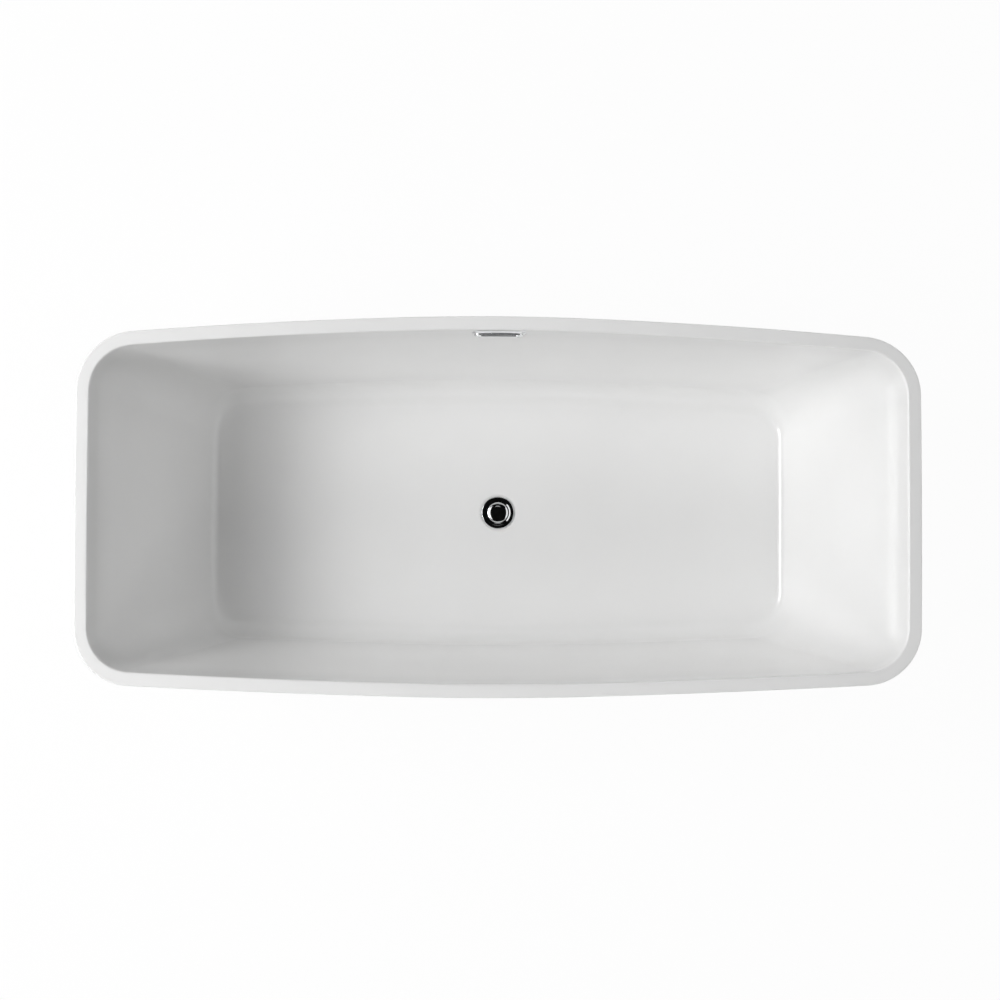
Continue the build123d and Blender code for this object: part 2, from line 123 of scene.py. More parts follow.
def bump(tree, shader, source, height):
    node = tree.nodes.new("ShaderNodeBump")
    node.inputs["Distance"].default_value = height
    node.inputs["Strength"].default_value = 1.0
    tree.links.new(source, node.inputs["Height"])
    previous = shader.inputs["Normal"].links
    if previous:
        tree.links.new(previous[0].from_socket, node.inputs["Normal"])
    tree.links.new(node.outputs["Normal"], shader.inputs["Normal"])


# patches tint the colour, smears change the gloss, and grains stand up from the surface.
# patches and smears are the scale and detail of a noise, and a grain has its height before those
finishLooks = {
    "white_acrylic": {
        "name": "whiteAcrylic",
        "plain": {"IOR": 1.49, "Coat Weight": 0.25, "Coat Roughness": 0.03},
        "dark": (0.845, 0.845, 0.842),
        "light": (0.86, 0.86, 0.857),
        "patches": (6.0, 2.0),
        "rough": (0.07, 0.11),
        "smears": (40.0, 4.0),
        "grains": [(0.00006, 5.0, 1.0), (0.000002, 900.0, 1.0)],    # slow waves, then fine orange peel
    },
    "chrome": {
        "name": "polishedChrome",
        "plain": {"Metallic": 1.0},
        "dark": (0.80, 0.81, 0.82),
        "light": (0.86, 0.87, 0.88),
        "patches": (30.0, 2.0),
        "rough": (0.02, 0.06),
        "smears": (300.0, 5.0),
        "grains": [(0.0000015, 1500.0, 2.0)],
    },
    "steel_tube": {
        "name": "blackPowderCoat",
        "plain": {"Roughness": 0.5},
        "dark": (0.022, 0.022, 0.024),
        "light": (0.032, 0.032, 0.034),
        "patches": (25.0, 4.0),
        "grains": [(0.00005, 900.0, 3.0)],
    },
    "zinc_steel": {
        "name": "zincSteel",
        "plain": {"Metallic": 1.0},
        "dark": (0.50, 0.51, 0.53),
        "light": (0.66, 0.67, 0.70),
        "patches": (60.0, 6.0),
        "rough": (0.25, 0.45),
        "smears": (220.0, 6.0),
        "grains": [(0.00001, 500.0, 4.0)],
    },
    "stainless": {
        "name": "stainlessSteel",
        "plain": {"Metallic": 1.0},
        "stretch": (1.0, 1.0, 12.0),
        "dark": (0.56, 0.56, 0.57),
        "light": (0.68, 0.68, 0.69),
        "patches": (60.0, 6.0),
        "rough": (0.25, 0.45),
        "smears": (220.0, 6.0),
        "grains": [(0.00001, 500.0, 4.0)],
    },
    "rubber": {
        "name": "blackRubber",
        "plain": {"IOR": 1.45},
        "dark": (0.018, 0.018, 0.018),
        "light": (0.03, 0.03, 0.03),
        "patches": (80.0, 4.0),
        "rough": (0.55, 0.8),
        "smears": (200.0, 4.0),
        "grains": [(0.00004, 1200.0, 3.0)],
    },
    "white_pvc": {
        "name": "whitePvc",
        "plain": {"IOR": 1.5},
        "dark": (0.72, 0.72, 0.70),
        "light": (0.78, 0.78, 0.77),
        "patches": (15.0, 3.0),
        "rough": (0.32, 0.44),
        "smears": (120.0, 4.0),
        "grains": [(0.00002, 700.0, 2.0)],
    },
    "acetal": {
        "name": "acetal",
        "plain": {"IOR": 1.5},
        "dark": (0.66, 0.66, 0.63),
        "light": (0.72, 0.72, 0.70),
        "patches": (15.0, 3.0),
        "rough": (0.39, 0.51),
        "smears": (120.0, 4.0),
        "grains": [(0.00002, 700.0, 2.0)],
    },
}


def makeFinish(look):
    material, tree, shader = newMaterial(look["name"], look["plain"])
    stretch = look.get("stretch", (1.0, 1.0, 1.0))
    colour = tint(tree, noise(tree, *look["patches"], stretch), look["dark"], look["light"])
    tree.links.new(colour, shader.inputs["Base Color"])
    if "rough" in look:
        gloss = spread(tree, noise(tree, *look["smears"], stretch), *look["rough"])
        tree.links.new(gloss, shader.inputs["Roughness"])
    for height, scale, detail in look["grains"]:
        bump(tree, shader, noise(tree, scale, detail, stretch), height)
    return material


chipboardLook = {
    "plain": {"Roughness": 0.6},
    "flakes": 160.0,
    "stretch": (1.0, 2.2, 1.4),
    "dark": (0.30, 0.20, 0.11),
    "light": (0.56, 0.42, 0.26),
    "contrast": (0.1, 0.9),
    "grain": 0.0002,
}


def makeChipboard(look):
    material, tree, shader = newMaterial("sealedChipboard", look["plain"])
    flakes = tree.nodes.new("ShaderNodeTexVoronoi")
    flakes.inputs["Scale"].default_value = look["flakes"]
    tree.links.new(textureSpace(tree, look["stretch"]), flakes.inputs["Vector"])
    colour = tint(tree, flakes.outputs["Color"], look["dark"], look["light"], *look["contrast"])
    tree.links.new(colour, shader.inputs["Base Color"])
    bump(tree, shader, flakes.outputs["Distance"], look["grain"])
    return material


finishes = {slotName: makeFinish(look) for slotName, look in finishLooks.items()}
finishes["chipboard"] = makeChipboard(chipboardLook)

for part in frame["record"]["subparts"]:
    cadPiece = nodes[part["node"]]
    cadPiece.data.materials.clear()
    cadPiece.data.materials.append(finishes[part["material_slot"]])
print("materials made,", len(finishes), "finishes")


weldDistance = 1e-7


def finishPiece(name, mesh, slot, body, replaced, sharpAngle=35.0):
    # edges that bend by more than the sharp angle stay crisp
    work = bmesh.new()
    work.from_mesh(mesh)
    bmesh.ops.remove_doubles(work, verts=work.verts, dist=weldDistance)
    bmesh.ops.recalc_face_normals(work, faces=work.faces)
    for face in work.faces:
        face.smooth = True
    for edge in work.edges:
        edge.smooth = len(edge.link_faces) == 2 and edge.calc_face_angle(0) < math.radians(sharpAngle)
    work.to_mesh(mesh)
    work.free()
    piece = bpy.data.objects.new(name, mesh)
    scene.collection.objects.link(piece)
    mesh.materials.append(finishes[slot])
    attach(piece, body)
    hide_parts(replaced)
    return piece


def bridgeRings(name, rings, closed=True):
    # faces from each ring to the next, and from the last back to the first when closed
    points = [point for ring in rings for point in ring]
    count = len(rings[0])
    pairs = list(zip(range(len(rings)), [*range(1, len(rings)), 0]))
    if not closed:
        pairs.pop()
    faces = []
    for here, there in pairs:
        for i in range(count):
            j = (i + 1) % count
            faces.append((here * count + i, here * count + j, there * count + j, there * count + i))
    mesh = bpy.data.meshes.new(name)
    mesh.from_pydata(points, [], faces)
    return mesh


def lathe(name, profile, segments=160):
    turns = [2 * math.pi * k / segments for k in range(segments)]
    rings = [[(across * math.cos(a), across * math.sin(a), up) for a in turns] for across, up in profile]
    return bridgeRings(name, rings)


def quarterTurns(steps, first=0):
    return [math.radians(90 * k / steps) for k in range(first, steps + 1)]


# the rim's outline is a bowed rectangle with round corners, and the walls follow it down
tubShape = {
    "rimBand": 0.027,
    "rimCorner": 0.118,
    "rimRound": 0.0026,
    "innerRound": 0.003,
    "innerEase": 0.0004,            # lets the wall run smoothly into the inner round
    "roundSupport": 0.004,          # flat strip beside a round, keeps the shading clean
    "lip": 0.005,
    "lipDrop": 0.012,
    "lipEase": 0.001,
    "skin": 0.005,
    "sideSlack": 0.0001,            # keeps the uneven outline inside the solid's box
    "sideMiddleRadius": 6.0,
    "sideMiddleHalf": 0.18,         # half the length of the tighter arc in the middle of a side
    "sideOuterRadius": 14.6,
    "endRadius": 27.0,
    "endSpread": 0.0037,            # how much wider the left end is, on each side
    "endShift": 0.0074,             # how far both ends stand to the near side
    "upperWall": 0.07,              # the steeper band under the rim
    "upperSideDraw": 0.010,         # how far that band leans in, at the sides and at the ends
    "upperEndDraw": 0.016,
    "breakBlend": 0.03,             # half the height over which the two slopes blend
    "wallCorner": 0.095,
    "sideRun": 0.118,               # from the rim's inner edge in to the flat floor
    "endRun": 0.208,
    "sideFillet": 0.055,
    "endFillet": 0.022,
    "floorBow": 0.95,               # share of the rim's bow that is left at the floor
    "leastCorner": 0.012,
    "cornerShare": 0.25,            # how fast the corners tighten down the fillet
    "floorInset": 0.02,             # a ring on the flat floor, this far in from the fillets
    "floorCorner": 0.03,
    "recess": (0.038, 0.002),       # radius and depth of the dish round the waste
    "recessBlend": 0.0015,
    "recessFall": 1.5,              # above one, the dish levels out toward the floor
    "recessApron": 0.004,
    "hole": 0.024,
}
arcSteps = {"middle": 48, "side": 44, "corner": 26, "end": 36}
wallSteps = {
    "sideFillet": range(4, 81, 4),  # degrees round the fillet
    "endFillet": range(5, 64, 5),
    "lower": 16,
    "upper": 18,
    "upperLead": 0.035,             # the upper steps begin this far under the upper wall
    "recess": 4,
    "innerRound": 6,
    "rimRound": 8,
}
halfLength = basinHigh.x
halfWidth = basinHigh.y - tubShape["sideSlack"]
rimTop = basinHigh.z
basinFloor = basinLow.z + tubShape["skin"]
basinDepth = rimTop - basinFloor


def arcPoints(centre, radius, start, end, steps):
    first = math.atan2(start.y - centre.y, start.x - centre.x)
    last = math.atan2(end.y - centre.y, end.x - centre.x)
    turns = [first + (last - first) * k / steps for k in range(steps)]
    return [centre + radius * Vector((math.cos(a), math.sin(a))) for a in turns]


def uneven(x, y, share):
    # one end is a little wider than the other, and both stand a little to the near side
    along = x / halfLength
    wider = share * tubShape["endSpread"] / halfWidth * along
    return y * (1 - wider) - share * tubShape["endShift"] * along**2


def tubRing(length, width, corner, bow, z, share=1.0):
    shape = tubShape
    middleRadius = shape["sideMiddleRadius"] / bow
    sideRadius = shape["sideOuterRadius"] / bow
    endRadius = shape["endRadius"] / bow
    middleCentre = Vector((0, width - middleRadius))
    joinX = shape["sideMiddleHalf"]
    join = Vector((joinX, middleCentre.y + math.sqrt(middleRadius**2 - joinX**2)))
    sideCentre = join + (middleCentre - join) * (sideRadius / middleRadius)
    endCentre = Vector((length - endRadius, 0))
    # the corner arc touches both the side's arc and the end's arc
    apart = endCentre - sideCentre
    a, b = sideRadius - corner, endRadius - corner
    along = (a * a - b * b + apart.length_squared) / (2 * apart.length)
    unit = apart.normalized()
    cornerCentre = sideCentre + unit * along + Vector((unit.y, -unit.x)) * math.sqrt(a * a - along * along)
    sideEnd = sideCentre + (cornerCentre - sideCentre).normalized() * sideRadius
    endEnd = endCentre + (cornerCentre - endCentre).normalized() * endRadius
    quarter = arcPoints(middleCentre, middleRadius, Vector((0, width)), join, arcSteps["middle"] // 2)
    quarter += arcPoints(sideCentre, sideRadius, join, sideEnd, arcSteps["side"])
    quarter += arcPoints(cornerCentre, corner, sideEnd, endEnd, arcSteps["corner"])
    quarter += arcPoints(endCentre, endRadius, endEnd, Vector((length, 0)), arcSteps["end"] // 2)
    flat = [(p.x, p.y) for p in quarter] + [(length, 0)]
    flat += [(p.x, -p.y) for p in quarter[:0:-1]] + [(0, -width)]
    flat += [(-p.x, -p.y) for p in quarter[1:]] + [(-length, 0)]
    flat += [(-p.x, p.y) for p in quarter[:0:-1]]
    return [(x, uneven(x, y, share), z) for x, y in flat]


def wallReach(level, skin, flat, fillet, rimReach, draw):
    # half size of the basin at a height over its floor
    upper = basinDepth - tubShape["upperWall"]
    across, up = rimReach - draw - flat, upper - fillet
    lean = math.acos(fillet / math.hypot(across, up)) - math.atan2(up, across)
    radius = fillet + skin
    filletTop = fillet - radius * math.sin(lean)
    if level < filletTop:
        return flat + math.sqrt(max(radius**2 - (fillet - level) ** 2, 0))
    start = flat + radius * math.cos(lean)
    low, high = math.tan(lean), draw / tubShape["upperWall"]
    blend = tubShape["breakBlend"]
    reach = start + (min(level, upper - blend) - filletTop) * low
    if level > upper - blend:
        t = min((level - upper + blend) / (2 * blend), 1)
        reach += 2 * blend * (low * t + (high - low) * t * t / 2)
    if level > upper + blend:
        reach += (level - upper - blend) * high
    return reach


def sideFilletTop():
    # height over the floor at which the side's fillet ends
    shape = tubShape
    fillet = shape["sideFillet"]
    run, up = shape["sideRun"] - shape["upperSideDraw"], basinDepth - shape["upperWall"] - fillet
    lean = math.acos(fillet / math.hypot(run, up)) - math.atan2(up, run)
    return fillet * (1 - math.sin(lean))


def sideReach(level, skin=0.0):
    shape = tubShape
    rimReach = halfWidth - shape["rimBand"]
    flat = rimReach - shape["sideRun"]
    return wallReach(level, skin, flat, shape["sideFillet"], rimReach, shape["upperSideDraw"])


def endReach(level, skin=0.0):
    shape = tubShape
    rimReach = halfLength - shape["rimBand"]
    flat = rimReach - shape["endRun"]
    return wallReach(level, skin, flat, shape["endFillet"], rimReach, shape["upperEndDraw"])


def basinRing(level, skin=0.0):
    shape = tubShape
    length, width = endReach(level, skin), sideReach(level, skin)
    share = min(max(level, 0) / basinDepth, 1)
    low, high = shape["wallCorner"], shape["rimCorner"] - shape["rimBand"]
    corner = low + (high - low) * share + skin
    filletTop = sideFilletTop()
    if level < filletTop:
        inset = sideReach(filletTop, skin) - width + endReach(filletTop, skin) - length
        corner = max(corner - inset * shape["cornerShare"], shape["leastCorner"])
    bow = shape["floorBow"] + (1 - shape["floorBow"]) * share
    return tubRing(length, width, corner, bow, basinFloor + level)


def outlineRing(inset, z):
    return tubRing(halfLength - inset, halfWidth - inset, tubShape["rimCorner"] - inset, 1, z)


def circleRing(like, radius, z):
    # a round ring with one point for each point of another ring
    ring = []
    for x, y, _ in like:
        turn = math.atan2(y / halfWidth, x / halfLength)
        ring.append((radius * math.cos(turn), radius * math.sin(turn), z))
    return ring


def wallLevels(top):
    # heights over the floor, close together in the fillets and in the upper wall
    shape = tubShape
    fillet = []
    for name in ("sideFillet", "endFillet"):
        fillet += [shape[name] * (1 - math.cos(math.radians(t))) for t in wallSteps[name]]
    fillet.sort()
    lower, upper = wallSteps["lower"], wallSteps["upper"]
    lowerTop = basinDepth - shape["upperWall"] - wallSteps["upperLead"]
    levels = [fillet[-1] + (lowerTop - fillet[-1]) * k / lower for k in range(1, lower + 1)]
    levels += [levels[-1] + (top - levels[-1]) * k / upper for k in range(1, upper + 1)]
    return fillet + levels


def recessRings(like):
    # the dish round the waste, from its hole out to the flat floor
    shape, steps = tubShape, wallSteps["recess"]
    radius, drop = shape["recess"]
    blend = shape["recessBlend"]
    rings = [circleRing(like, shape["hole"], basinFloor - drop)]
    rings.append(circleRing(like, radius - blend, basinFloor - drop))
    for k, t in enumerate(quarterTurns(steps)):
        across = radius - blend + blend * math.sin(t) + blend * (k / steps)
        rings.append(circleRing(like, across, basinFloor - drop * (1 - k / steps) ** shape["recessFall"]))
    rings.append(circleRing(like, radius + shape["recessApron"], basinFloor))
    return rings


def rimRings():
    # from the top of the wall over the flat band to the outside
    shape = tubShape
    band, small, big = shape["rimBand"], shape["innerRound"], shape["rimRound"]
    support, steps = shape["roundSupport"], wallSteps["innerRound"]
    rings = []
    for k, t in enumerate(quarterTurns(steps, 1), 1):
        inset = band - small * (1 - math.cos(t)) + shape["innerEase"] * (1 - k / steps)
        rings.append(outlineRing(inset, rimTop - small + small * math.sin(t)))
    rings += [outlineRing(band - small - support, rimTop), outlineRing(big + support, rimTop)]
    for t in quarterTurns(wallSteps["rimRound"]):
        rings.append(outlineRing(big * (1 - math.sin(t)), rimTop - big + big * math.cos(t)))
    return rings


def lipRings():
    # the turned-down edge under the rim, with both its corners eased
    lip, ease = tubShape["lip"], tubShape["lipEase"]
    foot = rimTop - lip - tubShape["lipDrop"]
    path = [(0, foot + ease), (ease, foot), (lip - ease, foot), (lip, foot + ease), (lip, rimTop - lip)]
    return [outlineRing(inset, z) for inset, z in path]


def makeBasin():
    shape = tubShape
    floorRing = basinRing(0)
    inset, skin = shape["floorInset"], shape["skin"]
    rings = recessRings(floorRing)
    rings.append(tubRing(endReach(0) - inset, sideReach(0) - inset, shape["floorCorner"],
                         shape["floorBow"], basinFloor))
    rings.append(floorRing)
    rings += [basinRing(level) for level in wallLevels(basinDepth - shape["innerRound"])]
    rings += rimRings() + lipRings()
    rings += [basinRing(level, skin) for level in reversed(wallLevels(basinDepth - shape["lip"]))]
    rings.append(basinRing(-skin, skin))
    rings.append(circleRing(floorRing, shape["hole"], basinLow.z))
    return bridgeRings("basinShell", rings)


basinPiece = finishPiece("basinShell", makeBasin(), "white_acrylic", "tub", "basin", sharpAngle=50.0)
print("basin done,", len(basinPiece.data.polygons), "faces")


skirtShape = {
    "foot": 0.008,                  # gap between the skirt and the ground
    "wall": 0.004,
    "bondGap": 0.0053,              # how far the top stands in from the rim's outline
    "sideTaper": 0.055,
    "endTaper": 0.060,
    "footCorner": 0.100,
    "footRound": 0.002,
    "footEase": 0.0006,             # the middle of the foot's rounded edge
    "return": 0.030,
    "rows": 24,
}


def skirtRing(inset, z):
    shape = skirtShape
    top = rimTop - tubShape["lip"]
    share = (top - z) / (top - shape["foot"])
    gap = shape["bondGap"]
    length = (halfLength - gap) * (1 - share) + (halfLength - shape["endTaper"]) * share
    width = (halfWidth - gap) * (1 - share) + (halfWidth - shape["sideTaper"]) * share
    corner = (tubShape["rimCorner"] - gap) * (1 - share) + shape["footCorner"] * share
    return tubRing(length - inset, width - inset, corner - inset, 1, z, 1 - share)


def makeSkirt():
    shape = skirtShape
    top = rimTop - tubShape["lip"]
    foot, wall, rows, inner = shape["foot"], shape["wall"], shape["rows"], shape["return"]
    edge, ease = shape["footRound"], shape["footEase"]
    rings = [skirtRing(0, foot + edge + (top - foot - edge) * k / rows) for k in range(rows, -1, -1)]
    rings += [skirtRing(ease, foot + ease), skirtRing(edge, foot)]
    rings += [skirtRing(inner, foot), skirtRing(inner, foot + wall), skirtRing(wall, foot + wall)]
    rings += [skirtRing(wall, foot + wall + (top - foot - wall) * k / rows) for k in range(1, rows + 1)]
    return bridgeRings("outerSkirt", rings)


finishPiece("outerSkirt", makeSkirt(), "white_acrylic", "tub", "skirt")
print("skirt done")


flangeLow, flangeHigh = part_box("drain_flange")
flangeShape = {
    "edge": (0.0013, 0.0024),       # width and height of the rounded edge
    "edgeSteps": 14,
    "underEase": (0.0002, 0.0003),
    "headThickness": 0.0035,
    "mouthSlope": 0.0033,           # the mouth slopes in over this width to the seat
    "mouthDrop": 0.0009,
    "mouthEase": [(0.0004, 0.0), (0.0001, 0.00002)],
    "mouthSteps": [0.05, 0.15, 0.5, 0.85, 0.95],
    "seatRadius": 0.025,
    "seatDepth": 0.002,
    "seatWall": (0.00005, 0.0001, 0.00015),     # its step in, and its ease at the top and the foot
    "seatEase": 0.0008,
    "throat": 0.0195,
    "tail": 0.022,
}


def makeFlange():
    shape = flangeShape
    outer, top = flangeHigh.x, flangeHigh.z
    headLow, seat = top - shape["headThickness"], top - shape["seatDepth"]
    tail, throat, inner, ease = shape["tail"], shape["throat"], shape["seatRadius"], shape["seatEase"]
    easeIn, easeUp = shape["underEase"]
    profile = [(tail, headLow), (outer - easeIn, headLow), (outer, headLow + easeUp)]
    # a quarter of an oval, upright at the outside and level at the top
    wide, high = shape["edge"]
    turns = reversed(quarterTurns(shape["edgeSteps"]))
    profile += [(outer - wide + wide * math.sin(t), top - high + high * math.cos(t)) for t in turns]
    mouth, slope = inner + shape["mouthSlope"], shape["mouthDrop"]
    profile += [(mouth + out, top - down) for out, down in shape["mouthEase"]]
    profile += [(mouth + (inner - mouth) * t, top - slope * t) for t in shape["mouthSteps"]]
    stepIn, easeTop, easeFoot = shape["seatWall"]
    profile.append((inner, top - slope))
    profile += [(inner - stepIn, top - slope - easeTop), (inner - stepIn, seat + easeFoot)]
    profile += [(inner - ease, seat), (throat + ease, seat), (throat, seat - ease)]
    profile += [(throat, flangeLow.z), (tail, flangeLow.z)]
    return lathe("wasteFlange", profile)


finishPiece("wasteFlange", makeFlange(), "chrome", "tub", "drain_flange")
print("waste flange done")


capLow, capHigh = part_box("stopper_cap")
capShape = {
    "flat": 0.0125,                 # radius of the level middle
    "drop": 0.0019,
    "edge": 0.0017,
    "underEase": (0.0004, 0.0003),
    "edgeSteps": 8,
    "shoulderSteps": 16,
    "innerRing": 0.006,
    "axisHole": 0.00005,            # far too small to see
}


def makeCap():
    # a level middle, a shoulder that falls ever faster, and a round edge that carries on from it
    shape = capShape
    radius, top = capHigh.x, capHigh.z
    flat, brow, drop = shape["flat"], radius - shape["edge"], shape["drop"]
    steep = math.atan(2 * drop / (brow - flat))
    edge = shape["edge"] / (1 - math.sin(steep))
    easeIn, easeUp = shape["underEase"]
    profile = [(shape["axisHole"], capLow.z), (radius - easeIn, capLow.z), (radius, capLow.z + easeUp)]
    for k in range(shape["edgeSteps"] + 1):
        t = math.pi / 2 + (steep - math.pi / 2) * k / shape["edgeSteps"]
        across = brow + edge * (math.sin(t) - math.sin(steep))
        profile.append((across, top - drop - edge * (math.cos(steep) - math.cos(t))))
    steps = shape["shoulderSteps"]
    for k in range(1, steps + 1):
        profile.append((brow + (flat - brow) * k / steps, top - drop * (1 - k / steps) ** 2))
    profile += [(shape["innerRing"], top), (shape["axisHole"], top)]
    return lathe("stopperCap", profile)


finishPiece("stopperCap", makeCap(), "chrome", "stopper", "stopper_cap")
print("stopper cap done")


trimShape = {
    "drop": 0.028,                  # from the rim to the middle of the slot
    "plate": (0.110, 0.036),
    "panel": (0.100, 0.0215),       # the raised part that holds the slot
    "panelLow": 0.00395,
    "slot": (0.078, 0.009),
    "hole": (0.096, 0.014),         # through the basin's wall, hidden by the plate
    "holeDepth": 0.015,
    "edgeGap": 0.0004,
    "hollow": 0.0015,
    "border": 0.0030,
    "back": [0.0026, 0.0009, 0.0001],           # rings in from the plate's edge
    "bevel": 0.0026,
    # rings over the bevel: share of its width, and height from its foot or from the border
    "bevelFoot": [(0, 0.0001), (0.04, 0.0003), (0.12, 0.0006)],
    "bevelTop": [(0.85, -0.0004), (0.95, -0.0001), (1.1, 0)],
    "face": 0.0055,
    "panelEase": (0.0004, 0.0001),
    "panelRound": 0.0012,
    "lip": (0.0032, 0.0012),        # how far the slot's lower lip falls and stands out
    "lipWidth": 0.0022,
    "lipEase": 0.0005,
    "collar": 0.0018,
    "collarDepth": 0.005,
    "straightSteps": 24,
    "endSteps": 28,
    "roundSteps": 8,
}
wallLean = math.atan(tubShape["upperSideDraw"] / tubShape["upperWall"])
wallOut = Vector((0, -math.cos(wallLean), math.sin(wallLean)))
wallUp = Vector((0, math.sin(wallLean), math.cos(wallLean)))


def slotRing(size, out, low=0.0, grow=0.0, fall=0.0, stand=0.0):
    # round-ended outline on the wall, a distance out from it; its lower side can fall and stand out
    steps, endSteps = trimShape["straightSteps"], trimShape["endSteps"]
    high = size[1] / 2 + grow
    straight = size[0] / 2 + grow - high
    top = rimTop - trimShape["drop"]
    middle = Vector((0, sideReach(top - basinFloor), top)) - wallUp * low
    turns = [math.pi * k / endSteps for k in range(endSteps)]
    flat = [(-straight + 2 * straight * k / steps, high) for k in range(steps)]
    flat += [(straight + high * math.sin(t), high * math.cos(t)) for t in turns]
    flat += [(-across, -up) for across, up in flat]
    ring = []
    for across, up in flat:
        share = max(-up / high, 0)
        point = middle + wallUp * (up - fall * share) + wallOut * (out + stand * share)
        ring.append((across, point.y, point.z))
    return ring


def plateRings():
    # the hollow back, then the bevelled edge with its two corners eased
    shape = trimShape
    plate, gap, border = shape["plate"], shape["edgeGap"], shape["border"]
    backHeights = (shape["hollow"], gap, gap)
    rings = [slotRing(plate, out, grow=-inset) for out, inset in zip(backHeights, shape["back"])]
    bevel = [(share, gap + rise) for share, rise in shape["bevelFoot"]]
    bevel += [(share, border + rise) for share, rise in shape["bevelTop"]]
    return rings + [slotRing(plate, out, grow=-shape["bevel"] * share) for share, out in bevel]


def panelRings():
    shape = trimShape
    panel, low, border = shape["panel"], shape["panelLow"], shape["border"]
    rise = shape["face"] - border
    wide, small = shape["panelEase"]
    rings = [slotRing(panel, border, low, wide), slotRing(panel, border + small, low, small)]
    for t in quarterTurns(shape["roundSteps"]):
        inset = shape["panelRound"] * (1 - math.cos(t))
        rings.append(slotRing(panel, border + rise * math.sin(t), low, -inset))
    return rings


def slotRings():
    # the slot itself, from the face of the panel in to the plate's back
    shape = trimShape
    slot, hollow, face, ease = shape["slot"], shape["hollow"], shape["face"], shape["lipEase"]
    fall, stand = shape["lip"]
    rings = [slotRing(slot, face, grow=ease + shape["lipWidth"], fall=fall)]
    rings.append(slotRing(slot, face, grow=ease, fall=fall, stand=stand))
    for t in reversed(quarterTurns(shape["roundSteps"])):
        out = hollow + (face - hollow) * math.sin(t)
        rings.append(slotRing(slot, out, fall=fall * (1 - math.cos(t)), stand=stand * math.sin(t)))
    return rings


def makeTrim():
    slot, depth, collar = trimShape["slot"], trimShape["collarDepth"], trimShape["collar"]
    rings = [slotRing(slot, -depth, grow=collar), slotRing(slot, trimShape["hollow"], grow=collar)]
    rings += plateRings() + panelRings() + slotRings()
    rings.append(slotRing(slot, -depth))
    return bridgeRings("overflowPlate", rings)


def cutSlot(piece):
    shape = trimShape
    front = slotRing(shape["hole"], shape["edgeGap"] / 2)
    back = slotRing(shape["hole"], -shape["holeDepth"])
    count = len(front)
    mesh = bridgeRings("slotCutter", [front, back], closed=False)
    work = bmesh.new()
    work.from_mesh(mesh)
    work.verts.ensure_lookup_table()
    work.faces.new(work.verts[:count])
    work.faces.new(work.verts[count:])
    bmesh.ops.recalc_face_normals(work, faces=work.faces)
    work.to_mesh(mesh)
    work.free()
    cutter = bpy.data.objects.new("slotCutter", mesh)
    scene.collection.objects.link(cutter)
    cut = piece.modifiers.new("slot", "BOOLEAN")
    cut.object = cutter
    cut.solver = "EXACT"
    cutMesh = bpy.data.meshes.new_from_object(piece.evaluated_get(bpy.context.evaluated_depsgraph_get()))
    piece.modifiers.clear()
    piece.data = cutMesh
    bpy.data.objects.remove(cutter)


finishPiece("overflowPlate", makeTrim(), "chrome", "tub", "overflow_trim")
cutSlot(basinPiece)
print("overflow plate done")


def whiteMix(tree, base, share):
    # what the camera and polished pieces see directly is a plain bright white, the rest is the base
    path = tree.nodes.new("ShaderNodeLightPath")
    seen, through, amount = (tree.nodes.new("ShaderNodeMath") for _ in range(3))
    seen.operation = "MAXIMUM"
    through.operation = "MAXIMUM"
    amount.operation = "MULTIPLY"
    amount.inputs[1].default_value = share
    mix = tree.nodes.new("ShaderNodeMixShader")
    tree.links.new(path.outputs["Is Camera Ray"], seen.inputs[0])
    tree.links.new(path.outputs["Is Glossy Ray"], seen.inputs[1])
    tree.links.new(seen.outputs[0], through.inputs[0])
    tree.links.new(path.outputs["Is Transmission Ray"], through.inputs[1])
    tree.links.new(through.outputs[0], amount.inputs[0])
    tree.links.new(amount.outputs[0], mix.inputs["Fac"])
    tree.links.new(base, mix.inputs[1])
    return mix


worldSetup = {"ambient": 0.0, "seen": 1.0}


def makeWorld(setup):
    # gives no light of its own, and is white only where it is seen
    world = bpy.data.worlds.new("studio")
    world.use_nodes = True
    scene.world = world
    tree = world.node_tree
    tree.nodes.clear()
    ambient, seen = (tree.nodes.new("ShaderNodeBackground") for _ in range(2))
    for background, strength in ((ambient, setup["ambient"]), (seen, setup["seen"])):
        background.inputs["Color"].default_value = (1, 1, 1, 1)
        background.inputs["Strength"].default_value = strength
    mix = whiteMix(tree, ambient.outputs[0], 1.0)
    tree.links.new(seen.outputs[0], mix.inputs[2])
    output = tree.nodes.new("ShaderNodeOutputWorld")
    tree.links.new(mix.outputs[0], output.inputs["Surface"])


def stageSheet(name, corners, material):
    mesh = bpy.data.meshes.new(name)
    mesh.from_pydata(corners, [], [(0, 1, 2, 3)])
    sheet = bpy.data.objects.new(name, mesh)
    mesh.materials.append(material)
    scene.collection.objects.link(sheet)
    return sheet


floorSetup = {
    "size": 16.0,
    "drop": 0.0005,                 # just clear of the foot pads
    "dark": (0.89, 0.89, 0.89),
    "light": (0.91, 0.91, 0.91),
    "patches": (3.0, 2.0),
    "rough": 0.9,
    "glow": 0.95,                   # the rest shows the tub's shadow
}


